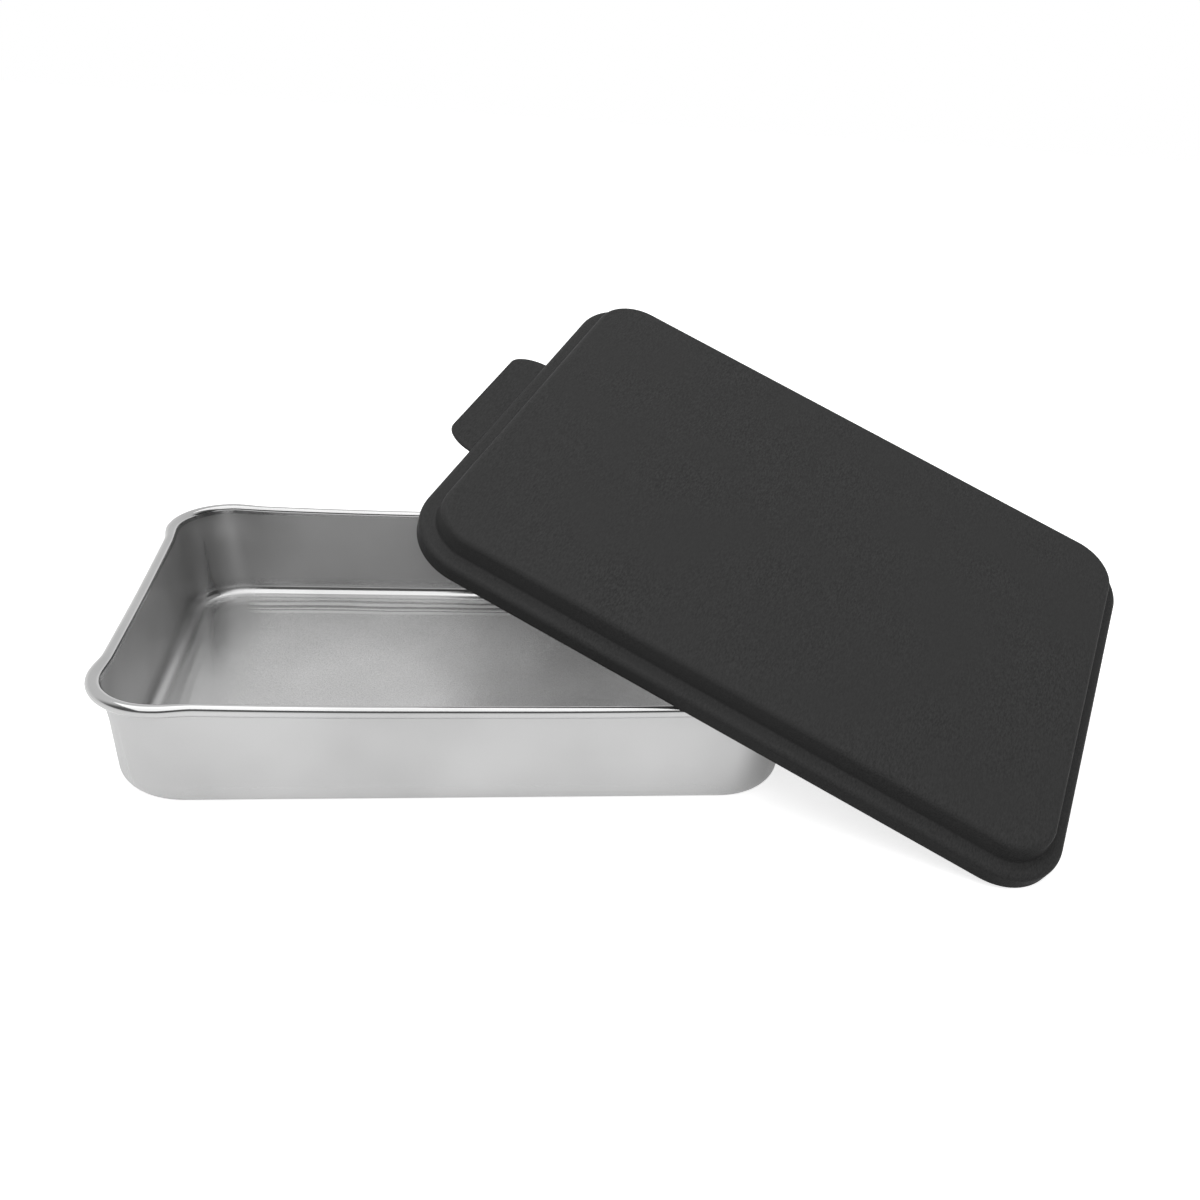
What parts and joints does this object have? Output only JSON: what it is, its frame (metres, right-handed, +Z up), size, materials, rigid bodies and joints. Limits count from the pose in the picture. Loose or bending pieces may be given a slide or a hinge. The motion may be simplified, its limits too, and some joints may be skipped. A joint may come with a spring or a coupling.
{
  "type": "covered cake pan",
  "caption": "Rectangular drawn aluminium cake pan with a rolled wired rim, and a dark coated drawn lid with a pull tab, taken off and leaned across the pan's front rim.",
  "frame": {"origin": "middle of the pan's flat base, on its underside", "axes": "+X along the pan's long side towards the end where the lid stands, +Y from the viewer to the back, +Z up"},
  "size_m": [0.5437, 0.3175, 0.1904],
  "materials": {
    "pan_aluminium": "bare satin aluminium, brushed along the walls by the drawing",
    "wire_steel": "galvanised wire, hidden in the rolled rim",
    "lid_coating": "matt charcoal coating with a fine leathery grain"
  },
  "bodies": {
    "pan": {"pan_shell": "pan_aluminium", "rim_wire": "wire_steel"},
    "lid": {"lid": "lid_coating"}
  },
  "joints": [
    {"name": "lid_lift", "type": "slide", "parent": "pan", "child": "lid", "axis": [0, 0, 1], "range_m": [0, 0.12]}
  ]
}
